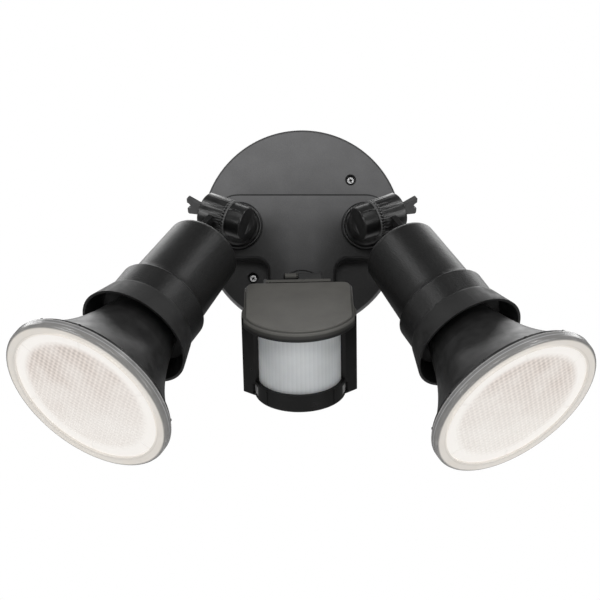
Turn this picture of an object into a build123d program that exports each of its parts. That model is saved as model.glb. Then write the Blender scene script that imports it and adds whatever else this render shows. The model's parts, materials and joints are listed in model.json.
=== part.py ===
from build123d import *
import math
import os

# Wall-mounted security light: a round cover with a T-shaped housing carries two adjustable
# lampholders with reflector lamps and, below them, a passive infrared motion sensor.
# Millimetres.  Origin: centre of the cover's wall side.  +Z up, front towards -Y.

# ---- Shared ----
CUT_OVER = 1.0
MATCH = 0.001
RUNNING_GAP = 0.08
FACE_GAP = 0.05

# ---- Round cover and T-shaped housing ----
COVER_R = 72.0
COVER_DEPTH = 20.0
COVER_WALL = 2.5
COVER_EDGE = 2.0
HOUSING_RISE = 18.0
HOUSING_DRAFT = 4.0
HOUSING_EDGE = 1.5
ARM_HALF = 22.7
STEM_HALF = 23.3
STEM_FOOT = 20.0
STEM_CORNER = 17.0
ARMPIT_R = 9.5

# ---- Sockets: two for the lamp arms, one for the sensor ----
LAMP_SOCKET_INSET = 26.9
LAMP_SOCKET_Z = 0.2
SENSOR_SOCKET_INSET = 23.5
SOCKET_RECESS = 1.2
SOCKET_RECESS_GAP = 0.8
SOCKET_FLOOR = 3.0
STUB_R = 8.0
STUB_LENGTH = 15.0
STUB_BORE_R = 4.5
FLANGE_R = 16.4
FLANGE_HEIGHT = 3.2
FLANGE_EDGE = 0.8
FLANGE_RIM = 1.6
FLANGE_GROOVE = 0.8
SEAL_HEIGHT = 1.0
SEAL_INSET = 1.0
LOCK_NUT_FLATS = 26.0
LOCK_NUT_HEIGHT = 5.0

# ---- Cover screws ----
COVER_SCREW_INSET = 22.1
COVER_SCREW_ANGLE = 45.4
COVER_SCREW_R = 1.75
COVER_SCREW_HEAD_R = 2.9
COVER_SCREW_HEAD = 2.0
COVER_SCREW_EDGE = 0.7
COVER_SCREW_BITE = 6.5
SCREW_WELL_R = 4.0
SCREW_WELL_DEPTH = 5.0
SCREW_HOLE_GAP = 0.3
BOSS_WALL = 2.6

# ---- Wall plate behind the cover ----
PLATE_THICKNESS = 3.5
PLATE_GAP = 0.5
FIXING_SPACING = 84.0
FIXING_SLOT_LENGTH = 12.0
FIXING_SLOT_HALF = 2.25
CABLE_ENTRY_Z = 25.0
CABLE_ENTRY_R = 8.0
CABLE_R = 4.2
GROMMET_LIP = 2.0
RIM_SEAL_HEIGHT = 1.5

# ---- Terminal block ----
TERMINAL_WAYS = 3
TERMINAL_PITCH = 10.0
TERMINAL_DEPTH = 12.0
TERMINAL_TALL = 16.0
TERMINAL_BORE_R = 2.2
TERMINAL_SCREW_R = 1.6
TERMINAL_SCREW_SINK = 1.0
TERMINAL_Z = -14.0

# ---- Swivel knuckles (lamp arms) ----
POST_LENGTH = 30.0
POST_BEND = 19.8
POST_FOOT_R = 12.5
POST_HEAD_R = 11.0
SWIVEL_ANGLE = 20.8
TILT_LEFT = 54.1
TILT_RIGHT = 56.9
INNER_BARREL_R = 11.8
INNER_BARREL_LENGTH = 18.5
KNUCKLE_RIM_R = 13.2
KNUCKLE_RIM = 1.6
OUTER_BARREL_R = 12.8
OUTER_BARREL_LENGTH = 14.5
BARREL_EDGE = 1.0
TOOTH_COUNT = 36
TOOTH_HEIGHT = 1.2
TOOTH_RECESS = 0.7
TOOTH_INNER_R = 6.0
SWEEP_GAP = 0.5
DIMPLE_R = 0.9
DIMPLE_DEPTH = 1.0
DIMPLE_ALONG = 9.6
DIMPLE_TURN = 25.0

# ---- Clamping wing screws ----
CLAMP_R = 3.0
CLAMP_CLEARANCE = 0.3
CLAMP_INSERT_R = 5.0
CLAMP_INSERT_LENGTH = 7.0
CLAMP_INSERT_START = 6.0
CLAMP_BORE_SPARE = 1.0
WING_HUB_R = 4.5
WING_HUB_LENGTH = 2.0
WING_LENGTH = 13.0
WING_TURN = 53.0
WING_ROOT_HALF = 4.0
WING_TIP_HALF = 7.6
WING_THICKNESS = 2.8
WING_NOTCH_R = 2.6
WING_CORNER = 1.2

# ---- Lampholder, measured along the lamp axis, which passes beside the knuckle ----
HOLDER_START = 29.0
HOLDER_OFFSET = 4.25
HOLDER_SHIFT = 1.8
HOLDER_CAP_R = 26.2
HOLDER_CAP_EDGE = 4.5
HOLDER_TUBE_LENGTH = 56.6
HOLDER_TUBE_R = 28.4
HOLDER_WALL = 2.5
COLLAR_R = 32.5
COLLAR_LENGTH = 18.6
COLLAR_EDGE = 1.2
NECK_HALF = 7.0
NECK_SPREAD = 10.0
NECK_INSET = 1.5

# ---- Screw socket inside the lampholder ----
SOCKET_BODY_R = 20.0
SOCKET_BASE = 8.0
SOCKET_TUBE_R = 18.0
SOCKET_BORE_R = 15.0
SOCKET_SEAT_GAP = 0.3
SLEEVE_R = 14.6
SLEEVE_WALL = 0.8
SLEEVE_LENGTH = 24.0
CONTACT_R = 4.0
CONTACT_HEIGHT = 10.25

# ---- Flared rubber gasket ----
GASKET_SLEEVE = 9.0
GASKET_WALL = 1.8
GASKET_FLARE = 19.0
GASKET_FRONT_R = 39.5
GASKET_STEP = 1.6
GASKET_LIP = 2.0

# ---- Reflector lamp ----
LAMP_LENGTH = 133.0
LAMP_R = 60.75
LAMP_CAP_R = 13.1
LAMP_CAP_LENGTH = 24.0
LAMP_TIP = 2.5
LAMP_NECK_R = 18.0
LAMP_NECK_LENGTH = 8.0
LAMP_THROAT_R = 22.2
LAMP_WAIST_R = 30.3
LAMP_WAIST_BACK = 54.5
LAMP_FLARE_STEP = 1.0
RING_OVERHANG = 1.75
LAMP_BAND_R = LAMP_R - RING_OVERHANG
LAMP_FLARE_R = LAMP_BAND_R - LAMP_FLARE_STEP
LAMP_BAND = 2.5
LAMP_WALL = 2.2
RING_HEIGHT = 6.5
RING_WIDTH = 7.6
RING_EDGE = 2.0
RING_TAB_COUNT = 12
RING_TAB_WIDTH = 1.8
RING_TAB_REACH = 2.0
RING_TAB_THICKNESS = 1.0
LENS_THICKNESS = 3.0
LENS_INSET = 1.5
LENS_CROWN = 1.6
LED_BOARD_R = 31.5
LED_BOARD_THICKNESS = 1.6
LED_BOARD_BACK = 38.0
LED_COUNT = 8
LED_CIRCLE_R = 22.0
LED_SIZE = 5.0
LED_HEIGHT = 1.2

# ---- Sensor arm and pivot ----
SENSOR_PIVOT_REACH = 26.0
SENSOR_PIVOT_LIFT = 1.7
SENSOR_FACE_X = -2.6
SENSOR_ROLL = 1.2
SENSOR_BARREL_R = 11.0
SENSOR_BARREL_LENGTH = 17.0
SENSOR_EAR_LENGTH = 10.0
SENSOR_POST_R = 10.5
SENSOR_PITCH = 29.0

# ---- Sensor head, forward (U) and up (V) from its pivot ----
SENSOR_BACK_U = 15.0
LENS_AXIS_U = 53.2
SENSOR_HALF = 38.6
SENSOR_BACK_HALF = 33.0
SENSOR_BACK_CORNER = 6.0
SENSOR_TOP_V = 3.6
SENSOR_BOTTOM_V = -51.4
SENSOR_SPLIT_BACK = 9.0
SENSOR_WALL = 2.2
SENSOR_FRONT_EDGE = 30.9
SENSOR_SWEEP = 6.4
SENSOR_NECK_HALF = 6.0
LENS_SEAT_GAP = 0.1
LENS_REACH_BACK = 4.0
FRESNEL_R = 28.3
FRESNEL_WALL = 1.0
FRESNEL_BOTTOM_V = -44.0
BEZEL_R = 31.0
BEZEL_TOP_V = -40.2
BEZEL_BOTTOM_V = -52.8
BEZEL_EDGE = 1.5
WINDOW_TURN = 74.0
WINDOW_WIDTH = 8.0
WINDOW_HEIGHT = 7.0
WINDOW_DEPTH = 1.8
WINDOW_INSET = 0.5
BEZEL_RIB_TURN = 47.0
BEZEL_RIB_WIDTH = 1.2
BEZEL_RIB_HEIGHT = 0.4
HOOD_HALF = 36.8
HOOD_BACK_U = 12.4
HOOD_FRONT_R = 40.0
HOOD_TOP_V = 11.3
HOOD_EDGE = 1.4
HOOD_STEP = 1.5
HOOD_STEP_DROP = 1.2
HOOD_TOP_EDGE = 0.8
HOOD_CORNER = 7.0
HOOD_SKIN = 2.4
HOOD_RIM = 2.2
LEDGE_HALF = 22.3
LEDGE_BACK_U = 8.0
LEDGE_DROP = 0.4

# ---- Sensor controls and inner parts ----
KNOB_X = 13.0
KNOB_U = 31.0
KNOB_R = 5.0
KNOB_HEIGHT = 5.0
KNOB_SINK = 3.0
KNOB_GAP = 0.3
KNOB_POST_R = 1.5
KNOB_SLOT = 1.2
KNOB_STEM = 8.0
BOARD_THICKNESS = 1.6
BOARD_U = 37.0
BOARD_HALF = 30.0
BOARD_TOP_V = 0.0
BOARD_BOTTOM_V = -34.0
PIR_R = 4.1
PIR_HEIGHT = 10.0
PIR_V = -20.0
PIR_FLANGE = 0.6
RELAY_SIZE = (15.0, 12.0, 16.0)
RELAY_X = 16.0
SENSOR_SCREW_R = 1.4
SENSOR_SCREW_HEAD_R = 2.7
SENSOR_SCREW_X = 24.0
SENSOR_SCREW_V = -38.0
SENSOR_SCREW_HEAD = 1.8
SENSOR_SCREW_LENGTH = 12.0
SENSOR_BOSS_WALL = 2.0


def rod(radius, start, end):
    """Cylinder along Z from start to end."""
    return extrude(Pos(0, 0, start) * Circle(radius), end - start)


def tube(outer, inner, start, end):
    return rod(outer, start, end) - rod(inner, start, end)


def turned(*points):
    """Solid of revolution about X from (x, radius) corners."""
    return revolve(make_face(Polyline(*points, close=True)), Axis.X)


def save(name, shape, place=Location()):
    placed = place * shape
    placed.label = name
    export_step(placed, f"parts/{name}.step")


# Wall parts are drawn with X right, Y up and Z out of the wall, then stood on the wall.
WALL = Location(Plane(origin=(0, 0, 0), x_dir=(1, 0, 0), z_dir=(0, -1, 0)))
FRONT_HEIGHT = COVER_DEPTH + HOUSING_RISE
SOCKET_FLOOR_TOP = FRONT_HEIGHT - SOCKET_RECESS
SOCKET_FLOOR_BACK = SOCKET_FLOOR_TOP - SOCKET_FLOOR
LAMP_SOCKET_X = COVER_R - LAMP_SOCKET_INSET
SENSOR_SOCKET_Z = SENSOR_SOCKET_INSET - COVER_R
SOCKETS = [
    (-LAMP_SOCKET_X, LAMP_SOCKET_Z),
    (LAMP_SOCKET_X, LAMP_SOCKET_Z),
    (0, SENSOR_SOCKET_Z),
]
screw_circle_r = COVER_R - COVER_SCREW_INSET
screw_x = screw_circle_r * math.cos(math.radians(COVER_SCREW_ANGLE))
screw_y = screw_circle_r * math.sin(math.radians(COVER_SCREW_ANGLE))
COVER_SCREWS = [(screw_x, screw_y), (-screw_x, -screw_y)]
WELL_FLOOR = COVER_DEPTH - SCREW_WELL_DEPTH


def housing_outline(grow):
    """T-shaped outline of the raised housing, grown outwards by the given amount."""
    arms = Pos(0, LAMP_SOCKET_Z) * SlotCenterToCenter(2 * LAMP_SOCKET_X, 2 * ARM_HALF)
    drop = LAMP_SOCKET_Z - SENSOR_SOCKET_Z + STEM_FOOT
    stem = Pos(0, LAMP_SOCKET_Z - drop / 2) * Rectangle(2 * STEM_HALF, drop)
    stem = fillet(stem.vertices().group_by(Axis.Y)[0], STEM_CORNER)
    outline = arms + stem
    pit_y = LAMP_SOCKET_Z - ARM_HALF
    pits = [
        v for v in outline.vertices() if abs(v.Y - pit_y) < MATCH and abs(abs(v.X) - STEM_HALF) < MATCH
    ]
    outline = fillet(pits, ARMPIT_R)
    return offset(outline, grow) if grow else outline


def base_cover():
    spread = HOUSING_RISE * math.tan(math.radians(HOUSING_DRAFT))
    disc = rod(COVER_R, RIM_SEAL_HEIGHT, COVER_DEPTH)
    disc = fillet(disc.edges().group_by(Axis.Z)[-1], COVER_EDGE)
    raised = extrude(housing_outline(spread), HOUSING_RISE, taper=HOUSING_DRAFT)
    raised = Pos(0, 0, COVER_DEPTH) * raised
    raised = fillet(raised.edges().group_by(Axis.Z)[-1], HOUSING_EDGE)
    hollow = rod(COVER_R - COVER_WALL, 0, COVER_DEPTH - COVER_WALL)
    room = extrude(housing_outline(spread - COVER_WALL), HOUSING_RISE, taper=HOUSING_DRAFT)
    room = Pos(0, 0, COVER_DEPTH - COVER_WALL) * room
    cover = disc + raised - hollow - room
    for x, y in SOCKETS:
        at = Pos(x, y)
        cover += at * rod(FLANGE_R, SOCKET_FLOOR_BACK, FRONT_HEIGHT - COVER_WALL)
        cover -= at * rod(FLANGE_R + SOCKET_RECESS_GAP, SOCKET_FLOOR_TOP, FRONT_HEIGHT)
        cover -= at * rod(STUB_R + RUNNING_GAP, SOCKET_FLOOR_BACK, FRONT_HEIGHT)
    for x, y in COVER_SCREWS:
        at = Pos(x, y)
        cover += at * rod(SCREW_WELL_R + COVER_WALL, WELL_FLOOR - COVER_WALL, COVER_DEPTH - COVER_WALL)
        cover -= at * rod(SCREW_WELL_R, WELL_FLOOR, COVER_DEPTH)
        cover -= at * rod(COVER_SCREW_R + SCREW_HOLE_GAP, WELL_FLOOR - COVER_WALL, COVER_DEPTH)
    return cover


def back_plate():
    plate = rod(COVER_R - COVER_WALL - PLATE_GAP, 0, PLATE_THICKNESS)
    for side in (-1, 1):
        slot = SlotOverall(FIXING_SLOT_LENGTH, 2 * FIXING_SLOT_HALF)
        plate -= Pos(side * FIXING_SPACING / 2, 0) * extrude(slot, PLATE_THICKNESS)
    plate -= Pos(0, CABLE_ENTRY_Z) * rod(CABLE_ENTRY_R, 0, PLATE_THICKNESS)
    for x, y in COVER_SCREWS:
        boss = rod(COVER_SCREW_R + BOSS_WALL, PLATE_THICKNESS, WELL_FLOOR - COVER_WALL)
        pilot = rod(COVER_SCREW_R, WELL_FLOOR - COVER_WALL - COVER_SCREW_BITE, WELL_FLOOR)
        plate += Pos(x, y) * boss
        plate -= Pos(x, y) * pilot
    return plate


def rim_seal():
    """Foam ring between the cover's rear edge and the wall, round the back plate."""
    return tube(COVER_R - PLATE_GAP, COVER_R - COVER_WALL, 0, RIM_SEAL_HEIGHT)


def cable_grommet():
    body = tube(CABLE_ENTRY_R, CABLE_R, 0, PLATE_THICKNESS + GROMMET_LIP)
    lip = tube(CABLE_ENTRY_R + GROMMET_LIP, CABLE_R, PLATE_THICKNESS, PLATE_THICKNESS + GROMMET_LIP)
    return Pos(0, CABLE_ENTRY_Z) * (body + lip)


def cover_screws():
    head = rod(COVER_SCREW_HEAD_R, WELL_FLOOR, WELL_FLOOR + COVER_SCREW_HEAD)
    head = fillet(head.edges().group_by(Axis.Z)[-1], COVER_SCREW_EDGE)
    shank = rod(COVER_SCREW_R, WELL_FLOOR - COVER_WALL - COVER_SCREW_BITE, WELL_FLOOR)
    screw = head + shank
    return Compound([(Pos(x, y) * screw).solid() for x, y in COVER_SCREWS])


def terminal_places():
    first = -(TERMINAL_WAYS - 1) * TERMINAL_PITCH / 2
    return [first + i * TERMINAL_PITCH for i in range(TERMINAL_WAYS)]


def terminal_block():
    length = TERMINAL_WAYS * TERMINAL_PITCH
    at = Pos(0, TERMINAL_Z, PLATE_THICKNESS + TERMINAL_DEPTH / 2)
    block = at * Box(length, TERMINAL_TALL, TERMINAL_DEPTH)
    for x in terminal_places():
        wire = Rot(90, 0, 0) * Cylinder(TERMINAL_BORE_R, TERMINAL_TALL)
        block -= Pos(x, TERMINAL_Z, PLATE_THICKNESS + TERMINAL_DEPTH / 2) * wire
        block -= Pos(x, TERMINAL_Z) * rod(
            TERMINAL_SCREW_R, PLATE_THICKNESS + TERMINAL_DEPTH / 2, PLATE_THICKNESS + TERMINAL_DEPTH
        )
    return block


def terminal_screws():
    top = PLATE_THICKNESS + TERMINAL_DEPTH
    screw = rod(TERMINAL_SCREW_R, PLATE_THICKNESS + TERMINAL_DEPTH / 2, top - TERMINAL_SCREW_SINK)
    return Compound([(Pos(x, TERMINAL_Z) * screw).solid() for x in terminal_places()])


# ---- Knuckle pieces, drawn with the pivot axis along Z and the toothed faces meeting at Z = 0 ----
def crown(inner, outer, height, count):
    """Ring of radial teeth standing on Z = 0, half of each pitch filled."""
    step = 360 / count
    half = math.radians(step / 4)
    ring = Circle(outer) - Circle(inner)
    near = inner - CUT_OVER
    far = outer + CUT_OVER
    rays = ((near, -half), (far, -half), (far, half), (near, half))
    corners = [(r * math.cos(a), r * math.sin(a)) for r, a in rays]
    wedge = make_face(Polyline(*corners, close=True))
    wedges = Sketch() + [Rot(0, 0, i * step) * wedge for i in range(count)]
    return extrude(ring & wedges, height)


def socket_fitting(reach):
    """Flange with its stub, and the wire way through both, on a socket axis.

    Z points away from the wall with Z = 0 on the housing's face; the wire way runs half-way
    up the post that stands on the flange.
    """
    flange_back = SEAL_HEIGHT - SOCKET_RECESS + FACE_GAP
    flange_top = flange_back + FLANGE_HEIGHT
    flange = rod(FLANGE_R, flange_back, flange_top)
    flange = fillet(flange.edges().group_by(Axis.Z)[-1], FLANGE_EDGE)
    groove_r = FLANGE_R - FLANGE_RIM
    groove = tube(groove_r, groove_r - FLANGE_GROOVE, flange_top - FLANGE_GROOVE, flange_top)
    stub = rod(STUB_R, flange_back - STUB_LENGTH, flange_back)
    wire_way = rod(STUB_BORE_R, flange_back - STUB_LENGTH, reach / 2)
    return flange - groove + stub, wire_way, flange_top


def swivel_seal():
    bottom = FACE_GAP - SOCKET_RECESS
    return tube(FLANGE_R - SEAL_INSET, STUB_R, bottom, bottom + SEAL_HEIGHT)


def lock_nut():
    """Hexagon nut inside the housing that keeps the stub in its socket."""
    top = -SOCKET_RECESS - SOCKET_FLOOR - FACE_GAP
    hexagon = RegularPolygon(LOCK_NUT_FLATS / 2, 6, major_radius=False)
    nut = Pos(0, 0, top - LOCK_NUT_HEIGHT) * extrude(hexagon, LOCK_NUT_HEIGHT)
    return nut - rod(STUB_R, top - LOCK_NUT_HEIGHT, top)


def toothed_barrel(radius, rim_radius, length):
    """Fixed half of a knuckle: rimmed barrel with a recessed ring of teeth in its face."""
    barrel = rod(radius, FACE_GAP, length)
    barrel = chamfer(barrel.edges().group_by(Axis.Z)[-1], BARREL_EDGE)
    rim = rod(rim_radius, FACE_GAP, FACE_GAP + KNUCKLE_RIM)
    recess = Pos(0, 0, FACE_GAP) * crown(TOOTH_INNER_R, rim_radius, TOOTH_RECESS, TOOTH_COUNT)
    bore = rod(CLAMP_R + CLAMP_CLEARANCE, 0, CLAMP_INSERT_START + CLAMP_INSERT_LENGTH + CLAMP_BORE_SPARE)
    seat = rod(CLAMP_INSERT_R, CLAMP_INSERT_START, CLAMP_INSERT_START + CLAMP_INSERT_LENGTH)
    return barrel + rim - recess, bore + seat


def clamp_insert():
    """Threaded brass insert moulded into the fixed half."""
    end = CLAMP_INSERT_START + CLAMP_INSERT_LENGTH
    return tube(CLAMP_INSERT_R, CLAMP_R + RUNNING_GAP, CLAMP_INSERT_START, end)


def crowned_barrel(radius, length):
    """Moving half of a knuckle: barrel whose crown of teeth faces the fixed half."""
    root = -FACE_GAP - TOOTH_HEIGHT
    barrel = rod(radius, -length, root)
    barrel = chamfer(barrel.edges().group_by(Axis.Z)[0], BARREL_EDGE)
    hub = rod(TOOTH_INNER_R - SWEEP_GAP, root, -FACE_GAP)
    teeth = Pos(0, 0, root) * crown(TOOTH_INNER_R, radius, TOOTH_HEIGHT, TOOTH_COUNT)
    return barrel + hub + teeth


def wing_screw(ear_length, turn):
    """Clamping screw with a notched thumb wing, turned about its axis, beyond the moving half."""
    seat = -ear_length - FACE_GAP
    shank = rod(CLAMP_R, seat, CLAMP_INSERT_START + CLAMP_INSERT_LENGTH)
    hub = rod(WING_HUB_R, seat - WING_HUB_LENGTH, seat)
    root = seat - WING_HUB_LENGTH / 2
    tip = root - WING_LENGTH
    corners = [
        (-WING_ROOT_HALF, root),
        (WING_ROOT_HALF, root),
        (WING_TIP_HALF, tip),
        (-WING_TIP_HALF, tip),
    ]
    blade = make_face(Polyline(*corners, close=True))
    blade = fillet(blade.vertices().group_by(Axis.Y)[0], WING_CORNER)
    blade -= Pos(0, tip) * Circle(WING_NOTCH_R)
    wing = Rot(0, 0, 90 + turn) * Rot(90, 0, 0) * extrude(blade, WING_THICKNESS / 2, both=True)
    return shank + hub + wing


def lamp_arm(side):
    """Bent arm in the knuckle frame: X along the post away from the wall, Z along the pivot axis."""
    bend = math.radians(POST_BEND)
    axis = (math.cos(bend), 0, math.sin(bend))
    socket = Location(Plane(origin=(-POST_LENGTH, 0, 0), x_dir=(0, 1, 0), z_dir=axis))
    reach = POST_LENGTH / math.cos(bend)
    foot, wire_way, flange_top = socket_fitting(reach)
    post = Pos(0, 0, flange_top) * Cone(
        POST_FOOT_R, POST_HEAD_R, reach - flange_top, align=(Align.CENTER, Align.CENTER, Align.MIN)
    )
    barrel, bore = toothed_barrel(INNER_BARREL_R, KNUCKLE_RIM_R, INNER_BARREL_LENGTH)
    sweep = rod(KNUCKLE_RIM_R + SWEEP_GAP, -INNER_BARREL_LENGTH, FACE_GAP)
    arm = socket * (foot + post) - sweep + barrel - bore - socket * wire_way
    turn = Rot(0, 0, side * DIMPLE_TURN)
    drill = rod(DIMPLE_R, INNER_BARREL_R - DIMPLE_DEPTH, INNER_BARREL_R + CUT_OVER)
    return arm - turn * Pos(0, 0, DIMPLE_ALONG) * Rot(0, 90, 0) * drill


# ---- Lampholder and lamp, drawn with the lamp axis along X and the pivot axis along Z ----
HOLDER_TUBE_END = HOLDER_START + HOLDER_TUBE_LENGTH
COLLAR_END = HOLDER_TUBE_END + COLLAR_LENGTH
LAMP_START = HOLDER_START + HOLDER_WALL + SOCKET_BASE + CONTACT_HEIGHT
LAMP_FACE = LAMP_START + LAMP_LENGTH
LAMP_CAP_END = LAMP_START + LAMP_TIP + LAMP_CAP_LENGTH
SOCKET_TUBE_END = LAMP_CAP_END - SOCKET_SEAT_GAP
COLLAR_BORE_R = COLLAR_R - HOLDER_WALL
GASKET_SLEEVE_R = COLLAR_BORE_R - GASKET_WALL
LAMP_WAIST = LAMP_FACE - LAMP_WAIST_BACK
THROAT_SLOPE = (LAMP_WAIST_R - LAMP_THROAT_R) / (LAMP_WAIST - COLLAR_END)


def lamp_offset(side):
    """The lamp axis lies beside the knuckle's centre, towards the wall and the inner half."""
    return Pos(0, -side * HOLDER_OFFSET, HOLDER_SHIFT)


def lampholder(side):
    inner_cap_r = HOLDER_CAP_R - HOLDER_WALL
    inner_tube_r = HOLDER_TUBE_R - HOLDER_WALL
    floor = HOLDER_START + HOLDER_WALL
    shelf = HOLDER_TUBE_END + HOLDER_WALL
    shell = turned(
        (HOLDER_START, 0),
        (HOLDER_START, HOLDER_CAP_R),
        (HOLDER_TUBE_END, HOLDER_TUBE_R),
        (HOLDER_TUBE_END, COLLAR_R),
        (COLLAR_END, COLLAR_R),
        (COLLAR_END, COLLAR_BORE_R),
        (shelf, COLLAR_BORE_R),
        (shelf, inner_tube_r),
        (floor, inner_cap_r),
        (floor, 0),
    )
    cap_rim = shell.edges().filter_by(GeomType.CIRCLE).sort_by(Axis.X)[0]
    shell = fillet(cap_rim, HOLDER_CAP_EDGE)
    collar_rims = [
        e
        for e in shell.edges().filter_by(GeomType.CIRCLE)
        if abs(e.radius - COLLAR_R) < MATCH and abs(e.center().X - HOLDER_TUBE_END) < MATCH
    ]
    shell = chamfer(collar_rims, COLLAR_EDGE)
    sketch = make_face(
        Polyline(
            (0, -NECK_HALF),
            (HOLDER_START + HOLDER_WALL / 2, -NECK_SPREAD),
            (HOLDER_START + HOLDER_WALL / 2, NECK_SPREAD),
            (0, NECK_HALF),
            close=True,
        )
    )
    neck_top = -FACE_GAP - TOOTH_HEIGHT - SWEEP_GAP
    neck_bottom = NECK_INSET - OUTER_BARREL_LENGTH
    neck = Pos(0, 0, neck_bottom) * extrude(sketch, neck_top - neck_bottom)
    bore = rod(CLAMP_R + CLAMP_CLEARANCE, -OUTER_BARREL_LENGTH, 0)
    shell = lamp_offset(side) * shell
    return shell + neck + crowned_barrel(OUTER_BARREL_R, OUTER_BARREL_LENGTH) - bore


def lamp_socket():
    """Ceramic body of the screw socket."""
    base = HOLDER_START + HOLDER_WALL
    return turned(
        (base, 0),
        (base, SOCKET_BODY_R),
        (base + SOCKET_BASE, SOCKET_BODY_R),
        (base + SOCKET_BASE, SOCKET_TUBE_R),
        (SOCKET_TUBE_END, SOCKET_TUBE_R),
        (SOCKET_TUBE_END, SOCKET_BORE_R),
        (base + SOCKET_BASE, SOCKET_BORE_R),
        (base + SOCKET_BASE, 0),
    )


def along_lamp(shape):
    """Lay a shape drawn along Z onto the lamp axis."""
    return Rot(0, 90, 0) * shape


def socket_contacts():
    """Screw sleeve and centre contact of the socket."""
    floor = HOLDER_START + HOLDER_WALL + SOCKET_BASE
    start = SOCKET_TUBE_END - SLEEVE_LENGTH
    sleeve = tube(SLEEVE_R, SLEEVE_R - SLEEVE_WALL, start, SOCKET_TUBE_END)
    flange = tube(SOCKET_BORE_R, SLEEVE_R - SLEEVE_WALL, start, start + SLEEVE_WALL)
    contact = rod(CONTACT_R, floor, LAMP_START)
    return Compound([along_lamp(sleeve + flange).solid(), along_lamp(contact).solid()])


def lamp_gasket():
    """Rubber skirt: its sleeve plugs the collar, its lip hugs the lamp and its flare keeps rain out."""
    flare_end = COLLAR_END + GASKET_FLARE
    lip_front_r = LAMP_THROAT_R + GASKET_LIP * THROAT_SLOPE
    return turned(
        (COLLAR_END - GASKET_SLEEVE, GASKET_SLEEVE_R),
        (COLLAR_END - GASKET_SLEEVE, COLLAR_BORE_R),
        (COLLAR_END, COLLAR_BORE_R),
        (COLLAR_END, COLLAR_R + GASKET_STEP / 2),
        (COLLAR_END + GASKET_STEP, COLLAR_R + GASKET_STEP),
        (flare_end, GASKET_FRONT_R),
        (flare_end, GASKET_FRONT_R - GASKET_WALL),
        (COLLAR_END + GASKET_LIP + GASKET_STEP, COLLAR_R),
        (COLLAR_END + GASKET_LIP, lip_front_r),
        (COLLAR_END, LAMP_THROAT_R),
    )


def lamp_body():
    """Bell of the lamp: straight throat, flare tangent to it, and a band behind the ring."""
    front = LAMP_FACE - RING_HEIGHT
    seat = LAMP_FACE - LED_BOARD_BACK - LED_BOARD_THICKNESS
    throat = (COLLAR_END, LAMP_THROAT_R)
    waist = (LAMP_WAIST, LAMP_WAIST_R)
    rim = (front - LAMP_BAND, LAMP_FLARE_R)
    outer = Line(throat, waist) + TangentArc(waist, rim, tangent=(1, THROAT_SLOPE))
    profile = outer + Polyline(
        rim,
        (front - LAMP_BAND, LAMP_BAND_R),
        (front, LAMP_BAND_R),
        (front, LAMP_FLARE_R - 2 * LAMP_WALL),
        (front - LAMP_BAND, LAMP_FLARE_R - 2 * LAMP_WALL),
        (seat, LED_BOARD_R),
        (seat, 0),
        (LAMP_CAP_END, 0),
        (LAMP_CAP_END, LAMP_CAP_R + LAMP_WALL),
        (LAMP_CAP_END + LAMP_NECK_LENGTH, LAMP_NECK_R),
        throat,
    )
    return revolve(make_face(profile), Axis.X)


def lamp_cap():
    """Screw cap of the lamp with its insulated tip contact."""
    shell = rod(LAMP_CAP_R, LAMP_START + LAMP_TIP, LAMP_CAP_END)
    shell = chamfer(shell.edges().group_by(Axis.Z)[0], LAMP_TIP)
    return along_lamp(shell + rod(CONTACT_R, LAMP_START, LAMP_START + LAMP_TIP))


def led_board():
    back = LAMP_FACE - LED_BOARD_BACK - LED_BOARD_THICKNESS
    board = rod(LED_BOARD_R, back, LAMP_FACE - LED_BOARD_BACK)
    chip = Box(LED_SIZE, LED_SIZE, LED_HEIGHT)
    chip = Pos(LED_CIRCLE_R, 0, LAMP_FACE - LED_BOARD_BACK + LED_HEIGHT / 2) * chip
    for i in range(LED_COUNT):
        board += Rot(0, 0, i * 360 / LED_COUNT) * chip
    return along_lamp(board)


def lamp_ring():
    """Clear retaining ring round the lamp's face, with snap tabs over the bell's band."""
    back = LAMP_FACE - RING_HEIGHT
    ring = tube(LAMP_R, LAMP_R - RING_WIDTH, back, LAMP_FACE)
    outer_rim = [e for e in ring.edges().group_by(Axis.Z)[-1] if abs(e.radius - LAMP_R) < MATCH]
    ring = fillet(outer_rim, RING_EDGE)
    tab_r = LAMP_BAND_R + RING_TAB_THICKNESS
    skirt = tube(tab_r, LAMP_BAND_R, back - RING_TAB_REACH, back)
    tab = Box(3 * RING_TAB_THICKNESS, RING_TAB_WIDTH, 2 * RING_TAB_REACH)
    tab = Pos(tab_r, 0, back) * tab
    for i in range(RING_TAB_COUNT):
        ring += skirt & (Rot(0, 0, i * 360 / RING_TAB_COUNT) * tab)
    return along_lamp(ring)


def lamp_lens():
    """Front lens: a slightly crowned disc inside the ring."""
    edge_r = LAMP_R - RING_WIDTH
    edge_front = LAMP_FACE - LENS_INSET
    dome_r = (edge_r**2 + LENS_CROWN**2) / (2 * LENS_CROWN)
    disc = rod(edge_r, edge_front - LENS_THICKNESS, edge_front + LENS_CROWN)
    return along_lamp(disc & Pos(0, 0, edge_front + LENS_CROWN - dome_r) * Sphere(dome_r))


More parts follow.
